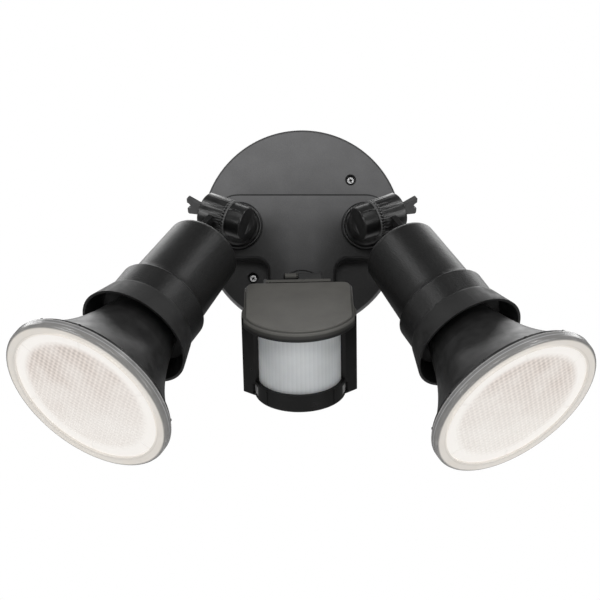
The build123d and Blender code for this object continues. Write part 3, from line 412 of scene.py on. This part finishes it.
def grained_holder():
    """Black plastic with a leather-like grain."""
    look = Finish("grained_holder", grey(0.008), 0.36, Specular_IOR_Level=0.4)
    pebbles = look.cells(0.8 * MM)
    crease = look.noise(0.4 * MM, 3)
    look.tint(look.ramp(pebbles, (0.15, grey(0.012)), (0.7, grey(0.004))))
    look.dull(crease, 0.32, 0.46)
    look.emboss(look.minus(crease, pebbles), 0.08 * MM, 0.5 * MM)
    return look.material


def satin_plastic(name, level, roughness=0.4, edge=0.4 * MM):
    look = Finish(name, grey(level), roughness, Specular_IOR_Level=0.4)
    cloud = look.noise(9 * MM, 2)
    look.tint(look.drift(cloud, grey(level * 0.85), grey(level * 1.2)))
    look.dull(cloud, roughness - 0.05, roughness + 0.08)
    look.emboss(look.noise(0.7 * MM, 3), 0.03 * MM, edge)
    return look.material


def sensor_finish():
    """Black plastic, grey like the hood where its top faces up."""
    look = Finish("sensor_plastic", grey(0.003), 0.32, Specular_IOR_Level=0.22)
    height = look.inside(SENSOR_HEAD)[2]
    top = look.times(look.span(look.facing_up(), 0.6, 0.8), look.span(height, *SENSOR_TOP))
    look.tint(look.ramp(top, (0.0, grey(0.003)), (1.0, (0.1, 0.098, 0.09))))
    look.dull(look.noise(9 * MM, 2), 0.27, 0.4)
    look.emboss(look.noise(0.7 * MM, 3), 0.03 * MM, 0.4 * MM)
    return look.material


def soft_rubber():
    look = Finish("soft_rubber", grey(0.01), 0.6, Specular_IOR_Level=0.35)
    bloom = look.noise(7 * MM, 4)
    look.tint(look.drift(bloom, grey(0.008), grey(0.015)))
    look.dull(bloom, 0.45, 0.65)
    look.emboss(look.noise(0.8 * MM, 3), 0.05 * MM, 0.5 * MM)
    return look.material


def turned_metal(name, colour, roughness):
    look = Finish(name, colour, roughness, metallic=1.0)
    wear = look.noise(1.2 * MM, 4)
    look.tint(look.drift(wear, dimmed(colour, 0.78), colour))
    look.dull(wear, roughness - 0.08, roughness + 0.1)
    look.emboss(look.noise(0.4 * MM, 2), 0.02 * MM, 0.2 * MM)
    return look.material


def pale_ceramic():
    look = Finish("pale_ceramic", (0.78, 0.75, 0.68), 0.2, Coat_Weight=0.5)
    speck = look.noise(2 * MM, 4)
    look.tint(look.drift(speck, (0.7, 0.67, 0.6), (0.82, 0.79, 0.73)))
    look.emboss(speck, 0.03 * MM)
    return look.material


def circuit_resin(name, colour):
    look = Finish(name, colour, 0.35)
    weave = look.noise(1.0 * MM, 3)
    look.tint(look.drift(weave, dimmed(colour, 0.85), colour))
    look.dull(weave, 0.3, 0.45)
    look.emboss(weave, 0.02 * MM)
    return look.material


def clear_ring(side):
    """Clear ring: glowing on its face, grey with two thin painted highlight lines down its wall."""
    name = f"{side}_clear_ring"
    look = Finish(name, (0.8, 0.8, 0.79), 0.18, Transmission_Weight=0.45, IOR=1.49)
    x, y, z = look.inside(LAMP[side])
    haze = look.noise(16 * MM, 2)
    look.dull(haze, 0.12, 0.25)
    radius = look.radius(x, y)
    face_edge = look.span(radius, *RING_FACE_EDGE, 1.0, 0.8)
    forward = look.math("MINIMUM", look.span(z, *RING_WALL), face_edge)
    # The wall: near black towards its back, grey with two painted highlight lines, then the face's own
    # beige
    wall_then_face = look.ramp(
        forward,
        (0.0, grey(0.02)),
        (0.36, grey(0.06)),
        (0.44, grey(0.6)),
        (0.5, grey(0.3)),
        (0.66, grey(0.36)),
        (0.72, grey(0.7)),
        (0.78, grey(0.32)),
        (0.9, (0.62, 0.59, 0.54)),
        (1.0, (0.74, 0.69, 0.62)),
    )
    look.tint(wall_then_face)
    outer = look.span(radius, *RING_GLOW_EDGE, 1.0, 0.3)
    from_line = look.math("ABSOLUTE", look.minus(radius, RING_LINE))
    line = look.span(from_line, 0.0, RING_LINE_WIDTH, 0.75, 1.0)
    strength = look.times(look.span(forward, 0.82, 1.0, 0.0, 0.32), outer, line)
    look.glow(look.drift(haze, (1.0, 0.94, 0.87), (1.0, 0.97, 0.94)), strength)
    look.emboss(look.noise(2.5 * MM, 2), 0.05 * MM, 0.5 * MM)
    return look.material


def prism_lens(side):
    """Glowing front lens: a clear annulus with a few moulded marks round a disc of fine prisms."""
    look = Finish(f"{side}_prism_lens", grey(0.35), 0.22)
    x, y = look.inside(LAMP[side])[:2]
    lean = math.radians(PRISM_LEAN) * (-1 if side == "left" else 1)
    along = look.plus(look.times(x, math.cos(lean)), look.times(y, math.sin(lean)))
    over = look.minus(look.times(y, math.cos(lean)), look.times(x, math.sin(lean)))
    disc = look.span(look.radius(x, y), *PRISM_DISC, 1.0, 0.0)
    rows_and_files = look.plus(look.wave(over, PRISM_PITCH), look.wave(along, PRISM_PITCH))
    prisms = look.times(rows_and_files, 0.5, disc)
    turns = look.math("SINE", look.times(look.math("ARCTAN2", y, x), SPOKE_PAIRS))
    spokes = look.span(look.math("ABSOLUTE", turns), 0.0, 0.07, 1.0, 0.0)
    marks = look.times(spokes, look.minus(1.0, disc))
    look.emboss(look.plus(prisms, marks), 0.5 * MM)
    cloud = look.span(look.noise(22 * MM, 3), 0.35, 0.65, 0.55, 1.0)
    # Glow dimmer and warmer, and tint darker, towards the top of the prism disc
    tone_shift = look.times(look.span(y, *LENS_VEIL, 0.25, 1.0), disc, cloud)
    tone = look.minus(1.0, look.times(tone_shift, look.span(prisms, -1.0, 1.0, 0.55, 0.05)))
    warmth = look.ramp(tone_shift, (0.0, (1.0, 0.95, 0.89)), (0.8, (1.0, 0.9, 0.83)))
    look.glow(warmth, look.times(tone, 0.59))
    look.tint(look.ramp(tone_shift, (0.0, grey(0.35)), (0.9, (0.3, 0.27, 0.25))))
    return look.material


def fresnel_sheet():
    """Frosted lens sheet with upright facets moulded into it."""
    look = Finish("fresnel_sheet", grey(0.8), 0.38, Subsurface_Weight=0.1)
    x, y, z = look.inside(SENSOR_HEAD)
    turn = look.math("ARCTAN2", x, look.minus(SHEET_CENTRE, y))
    facets = look.times(look.plus(turn, math.pi), SHEET_FACETS / (2 * math.pi))
    saw = look.math("FRACT", facets)
    tiers = look.math("FRACT", look.math("DIVIDE", z, SHEET_TIER))
    upright_lines = look.span(saw, 0.0, 0.12, 1.0, 0.0)
    level_lines = look.span(tiers, 0.0, 0.05, 1.0, 0.0)
    lines = look.math("MAXIMUM", upright_lines, level_lines)
    cloud = look.noise(12 * MM, 2)
    tone_shift = look.plus(look.times(cloud, 0.5), look.times(saw, 0.35))
    look.tint(look.ramp(tone_shift, (0.2, (0.72, 0.715, 0.71)), (0.6, (0.8, 0.795, 0.79))))
    look.dull(cloud, 0.33, 0.45)
    look.emboss(look.plus(saw, lines), 0.05 * MM)
    return look.material


def clear_window():
    look = Finish("clear_window", (0.7, 0.71, 0.7), 0.15, Transmission_Weight=0.3, IOR=1.49)
    haze = look.noise(3 * MM, 3)
    look.tint(look.drift(haze, grey(0.55), grey(0.8)))
    look.dull(haze, 0.1, 0.25)
    look.emboss(haze, 0.05 * MM)
    return look.material


COVER = cover_finish()
HOOD = hood_finish()
PLATE = satin_plastic("plate_plastic", 0.03, 0.5)
KNUCKLE_GLOSS = glossy_knuckle()
HOLDER = grained_holder()
# Satin nylon of the teeth and rim, painted lighter than the black knuckle as painted light on them
CROWN = satin_plastic("crown_plastic", 0.09, 0.45, 0.2 * MM)
WING = satin_plastic("wing_plastic", 0.07, 0.5, 0.6 * MM)
BELL = satin_plastic("bell_plastic", 0.018)
SENSOR = sensor_finish()
SENSOR_ARM = satin_plastic("sensor_arm_plastic", 0.03, 0.5)
DIAL = satin_plastic("dial_plastic", 0.04)
TICK = satin_plastic("tick_paint", 0.55, 0.5, 0.1 * MM)
TERMINAL = satin_plastic("terminal_plastic", 0.6, 0.45)
RUBBER = soft_rubber()
STEEL = turned_metal("screw_steel", grey(0.3), 0.36)
BRASS = turned_metal("bright_brass", (0.78, 0.56, 0.25), 0.25)
CERAMIC = pale_ceramic()
BOARD = circuit_resin("lamp_board", (0.75, 0.78, 0.75))
GREEN_BOARD = circuit_resin("sensor_board", (0.03, 0.16, 0.07))
RELAY = circuit_resin("relay_case", (0.05, 0.1, 0.35))
FRESNEL = fresnel_sheet()
WINDOW = clear_window()

finishes = {
    "base_cover": COVER,
    "back_plate": PLATE,
    "rim_seal": RUBBER,
    "cable_grommet": RUBBER,
    "cover_screws": STEEL,
    "terminal_block": TERMINAL,
    "terminal_screws": STEEL,
    "sensor_arm": SENSOR_ARM,
    "sensor_seal": RUBBER,
    "sensor_lock_nut": PLATE,
    "sensor_clamp_insert": BRASS,
    "sensor_wing_screw": WING,
    "sensor_back": SENSOR,
    "sensor_front": SENSOR,
    "sensor_hood": HOOD,
    "fresnel_lens": FRESNEL,
    "window_lenses": WINDOW,
    "circuit_board": GREEN_BOARD,
    "pir_element": STEEL,
    "relay": RELAY,
    "sensor_screws": STEEL,
    "time_knob": DIAL,
    "light_knob": DIAL,
}
for side in SIDES:
    finishes.update(
        {
            f"{side}_swivel_arm": KNUCKLE_GLOSS,
            f"{side}_swivel_seal": RUBBER,
            f"{side}_lock_nut": PLATE,
            f"{side}_clamp_insert": BRASS,
            f"{side}_wing_screw": WING,
            f"{side}_lampholder": HOLDER,
            f"{side}_lamp_socket": CERAMIC,
            f"{side}_socket_contacts": BRASS,
            f"{side}_lamp_gasket": RUBBER,
            f"{side}_lamp_body": BELL,
            f"{side}_lamp_cap": BRASS,
            f"{side}_led_board": BOARD,
            f"{side}_lamp_ring": clear_ring(side),
            f"{side}_lamp_lens": prism_lens(side),
        }
    )
for name, node in nodes.items():
    for slot in node.material_slots:
        slot.material = finishes[name]


# ---- Mesh work shared by the added pieces ----
def finished(name, work, materials, body):
    """Turn a worked bmesh into a piece of the light that rides on a body."""
    bmesh.ops.remove_doubles(work, verts=work.verts, dist=WELD)
    bmesh.ops.recalc_face_normals(work, faces=work.faces)
    mesh = bpy.data.meshes.new(name)
    work.to_mesh(mesh)
    work.free()
    for material in materials:
        mesh.materials.append(material)
    piece = bpy.data.objects.new(name, mesh)
    bpy.context.scene.collection.objects.link(piece)
    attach(piece, body)
    return piece


def merged_copy(node):
    work = bmesh.new()
    work.from_mesh(nodes[node].data)
    bmesh.ops.remove_doubles(work, verts=work.verts, dist=WELD)
    return work


def in_zone(spot, zone):
    (low, high), (inner, outer) = zone
    return low < spot.z < high and inner < math.hypot(spot.x, spot.y) < outer


def slid(work, place, zone, travel):
    """Slide the verts of a zone round a place's Z axis along that axis, in metres."""
    back = place.inverted()
    for vert in work.verts:
        spot = back @ vert.co
        if in_zone(spot, zone):
            spot.z += travel
            vert.co = place @ spot


def refinished(work, place, zone, index):
    """Give the faces in a zone round a place's Z axis another of the piece's finishes."""
    back = place.inverted()
    for face in work.faces:
        if all(in_zone(back @ vert.co, zone) for vert in face.verts):
            face.material_index = index


def lit_smooth(piece):
    """Shade smooth over gentle edges, with normals led by the large faces."""
    piece.data.shade_smooth()
    piece.data.set_sharp_from_angle(angle=math.radians(SMOOTH_UP_TO))
    even = piece.modifiers.new("even_shading", "WEIGHTED_NORMAL")
    even.keep_sharp = True
    even.weight = 90


# ---- Lampholders and arms ----
def holder(side):
    """Lampholder with a slim neck beside its glossy barrel, whose crown reaches further in."""
    work = merged_copy(f"{side}_lampholder")
    slid(work, KNUCKLE[side], NECK_FACE, NECK_SLIMMING)
    slid(work, KNUCKLE[side], HOLDER_TIP, CROWN_REACH)
    materials = (HOLDER, KNUCKLE_GLOSS, CROWN)
    refinished(work, KNUCKLE[side], HOLDER_BARREL, materials.index(KNUCKLE_GLOSS))
    refinished(work, KNUCKLE[side], HOLDER_CROWN, materials.index(CROWN))
    piece = finished(f"{side}_holder_shell", work, materials, f"{side}_head")
    lit_smooth(piece)
    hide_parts(f"{side}_lampholder")


def arm(side):
    """Swivel arm whose crown of teeth stands back to meet the lampholder's."""
    work = merged_copy(f"{side}_swivel_arm")
    slid(work, KNUCKLE[side], ARM_TIP, CROWN_REACH)
    materials = (KNUCKLE_GLOSS, CROWN)
    refinished(work, KNUCKLE[side], ARM_RIM, materials.index(CROWN))
    piece = finished(f"{side}_arm_shell", work, materials, f"{side}_arm")
    lit_smooth(piece)
    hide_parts(f"{side}_swivel_arm")


# ---- Screws ----
def drawn_out(work, edges, radius_from, radius_to, rise):
    """Extrude a ring of edges along Z while its radius changes; gives the new ring's edges."""
    made = bmesh.ops.extrude_edge_only(work, edges=edges)["geom"]
    verts = [part for part in made if isinstance(part, bmesh.types.BMVert)]
    share = radius_to / radius_from
    bmesh.ops.scale(work, vec=(share, share, 1), verts=verts)
    bmesh.ops.translate(work, vec=(0, 0, rise), verts=verts)
    return [part for part in made if isinstance(part, bmesh.types.BMEdge)]


def cross_recess(work, rim, head_radius, head_height):
    """Sink a tapered cross into the crest of a screw's head, and join it to the crest's rim."""
    half = head_radius * RECESS_HALF
    verts = bmesh.ops.create_grid(work, x_segments=3, y_segments=3, size=half)["verts"]
    bmesh.ops.translate(work, vec=(0, 0, head_height), verts=verts)
    for vert in verts:
        for i in (0, 1):
            if abs(vert.co[i]) < half / 2:
                vert.co[i] *= ARM_NARROWING
    centre = Vector((0, 0, head_height))
    reach = head_radius * RECESS_CORNER
    faces = {face for vert in verts for face in vert.link_faces}
    corners = [face for face in faces if (face.calc_center_median() - centre).length > reach]
    bmesh.ops.delete(work, geom=corners, context="FACES")
    arms = [face for face in faces if face.is_valid]
    mouth = [edge for face in arms for edge in face.edges if edge.is_boundary]
    bmesh.ops.bridge_loops(work, edges=rim + mouth)
    sunk = bmesh.ops.extrude_face_region(work, geom=arms)["geom"]
    bmesh.ops.delete(work, geom=arms, context="FACES")
    floor = [part for part in sunk if isinstance(part, bmesh.types.BMVert)]
    bmesh.ops.scale(work, vec=(RECESS_TAPER, RECESS_TAPER, 1), verts=floor)
    bmesh.ops.translate(work, vec=(0, 0, -head_height * RECESS_DEPTH), verts=floor)


def cross_screw(work, place, head_radius, head_height, shank_radius, shank_length):
    """Pan-headed screw with a cross recess; Z = 0 under the head."""
    before = set(work.verts)
    crest = head_radius * CREST_RADIUS
    ring = bmesh.ops.create_circle(work, cap_ends=False, segments=24, radius=crest)["verts"]
    bmesh.ops.translate(work, vec=(0, 0, head_height), verts=ring)
    rim = [edge for edge in work.edges if edge.verts[0] in ring and edge.verts[1] in ring]
    cross_recess(work, rim, head_radius, head_height)
    edges = drawn_out(work, rim, crest, head_radius, -head_height * CREST_FALL)
    edges = drawn_out(work, edges, head_radius, head_radius, -head_height * (1 - CREST_FALL))
    edges = drawn_out(work, edges, head_radius, shank_radius, 0)
    edges = drawn_out(work, edges, shank_radius, shank_radius, -shank_length)
    bmesh.ops.edgeloop_fill(work, edges=edges)
    made = [vert for vert in work.verts if vert not in before]
    bmesh.ops.transform(work, matrix=place, verts=made)


def cover_screws():
    low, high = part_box("cover_screws")
    work = bmesh.new()
    facing = Matrix.Rotation(math.radians(90), 4, "X")
    inset = COVER_SCREW["head_radius"]
    seat = low.y + COVER_SCREW["head_height"]
    places = ((high.x - inset, seat, high.z - inset), (low.x + inset, seat, low.z + inset))
    for place, turn in zip(places, COVER_SCREW_TURNS):
        spin = Matrix.Rotation(math.radians(turn), 4, "Z")
        cross_screw(work, Matrix.Translation(place) @ facing @ spin, **COVER_SCREW)
    piece = finished("cover_cross_screws", work, (STEEL,), "base")
    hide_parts("cover_screws")


def sensor_screws():
    work = bmesh.new()
    facing = Matrix.Rotation(math.radians(-90), 4, "X")
    for aside in (-SENSOR_SCREW_ASIDE, SENSOR_SCREW_ASIDE):
        place = Matrix.Translation((aside, SENSOR_SCREW_Y, SENSOR_SCREW_Z)) @ facing
        cross_screw(work, SENSOR_HEAD @ place, **SENSOR_SCREW)
    piece = finished("sensor_cross_screws", work, (STEEL,), "sensor_head")
    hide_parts("sensor_screws")


# ---- Dials ----
def dial_scales():
    """Tick marks round the two dials, moulded proud of the sensor's underside."""
    work = bmesh.new()
    for name in ("time_turn", "light_turn"):
        centre = Vector(joints[name]["pos_m"])
        place = Matrix.Translation(centre) @ SENSOR_HEAD.to_3x3().to_4x4()
        for i in range(TICKS):
            bar = bmesh.ops.create_cube(work, size=1)["verts"]
            length = LONG_TICK if i in (0, TICKS - 1) else SHORT_TICK
            bmesh.ops.scale(work, vec=(TICK_WIDTH, length, TICK_HEIGHT), verts=bar)
            bmesh.ops.translate(work, vec=(0, TICK_START + length / 2, -TICK_SINK), verts=bar)
            turn = Matrix.Rotation(math.radians((i / (TICKS - 1) - 0.5) * TICK_SWEEP), 4, "Z")
            bmesh.ops.transform(work, matrix=place @ turn, verts=bar)
    finished("dial_scales", work, (TICK,), "sensor_head")


for side in SIDES:
    holder(side)
    arm(side)
cover_screws()
sensor_screws()
dial_scales()


# ---- Stage, light and camera ----
def stage_floor():
    mesh = bpy.data.meshes.new("floor")
    work = bmesh.new()
    bmesh.ops.create_grid(work, x_segments=1, y_segments=1, size=FLOOR_HALF)
    bmesh.ops.translate(work, vec=(0, 0, -FLOOR_DROP), verts=work.verts)
    work.to_mesh(mesh)
    work.free()
    floor = bpy.data.objects.new("floor", mesh)
    bpy.context.scene.collection.objects.link(floor)
    look = Finish("pale_floor", grey(0.85), 0.8)
    look.tint(look.drift(look.noise(0.5, 2), grey(0.83), grey(0.87)))
    mesh.materials.append(look.material)


def studio_world():
    """White surround where the camera sees it, much dimmer where it lights the scene."""
    world = bpy.data.worlds.new("studio")
    world.use_nodes = True
    tree = world.node_tree
    seen = tree.nodes["Background"]
    seen.inputs["Color"].default_value = (1, 1, 1, 1)
    seen.inputs["Strength"].default_value = 1.0
    fill = tree.nodes.new("ShaderNodeBackground")
    fill.inputs["Strength"].default_value = FILL_STRENGTH
    either = tree.nodes.new("ShaderNodeMixShader")
    rays = tree.nodes.new("ShaderNodeLightPath")
    tree.links.new(rays.outputs["Is Camera Ray"], either.inputs[0])
    tree.links.new(fill.outputs[0], either.inputs[1])
    tree.links.new(seen.outputs[0], either.inputs[2])
    tree.links.new(either.outputs[0], tree.nodes["World Output"].inputs["Surface"])
    bpy.context.scene.world = world


def soft_box(name, place, target, size, power):
    light = bpy.data.lights.new(name, "AREA")
    light.shape = "RECTANGLE"
    light.size, light.size_y = size
    light.energy = power
    lamp = bpy.data.objects.new(name, light)
    lamp.location = place
    lamp.rotation_euler = (Vector(target) - Vector(place)).to_track_quat("-Z", "Y").to_euler()
    bpy.context.scene.collection.objects.link(lamp)


def side_boxes(side, out):
    """A small box above and in front of one side, and a large one beside it."""
    soft_box(
        f"{side}_top_box",
        place=(out * 0.4, -0.4, 0.5),
        target=(0, -0.05, -0.02),
        size=(0.15, 0.15),
        power=1.1,
    )
    soft_box(
        f"{side}_side_box",
        place=(out * 0.8, -0.62, -0.15),
        target=(out * 0.05, -0.07, 0),
        size=(0.35, 0.5),
        power=3.0,
    )


def photo_camera():
    """The photo's view, from in front and a little below."""
    data = bpy.data.cameras.new("camera")
    data.lens = CAMERA_LENS
    data.sensor_width = CAMERA_SENSOR
    data.clip_end = CAMERA_SIGHT
    camera = bpy.data.objects.new("camera", data)
    camera.location = CAMERA_PLACE
    camera.rotation_euler = (math.radians(90 + CAMERA_RISE), 0, 0)
    bpy.context.scene.collection.objects.link(camera)
    bpy.context.scene.camera = camera


stage_floor()
studio_world()
bpy.context.scene.view_settings.view_transform = "Standard"
soft_box("front_box", place=(0, -1.2, 0.3), target=(0, -0.05, -0.05), size=(0.5, 0.3), power=3.2)
soft_box("back_box", place=(0, 0.55, 0.5), target=(0, 0, 0), size=(1.6, 0.5), power=7.0)
side_boxes("left", -1)
side_boxes("right", 1)
photo_camera()
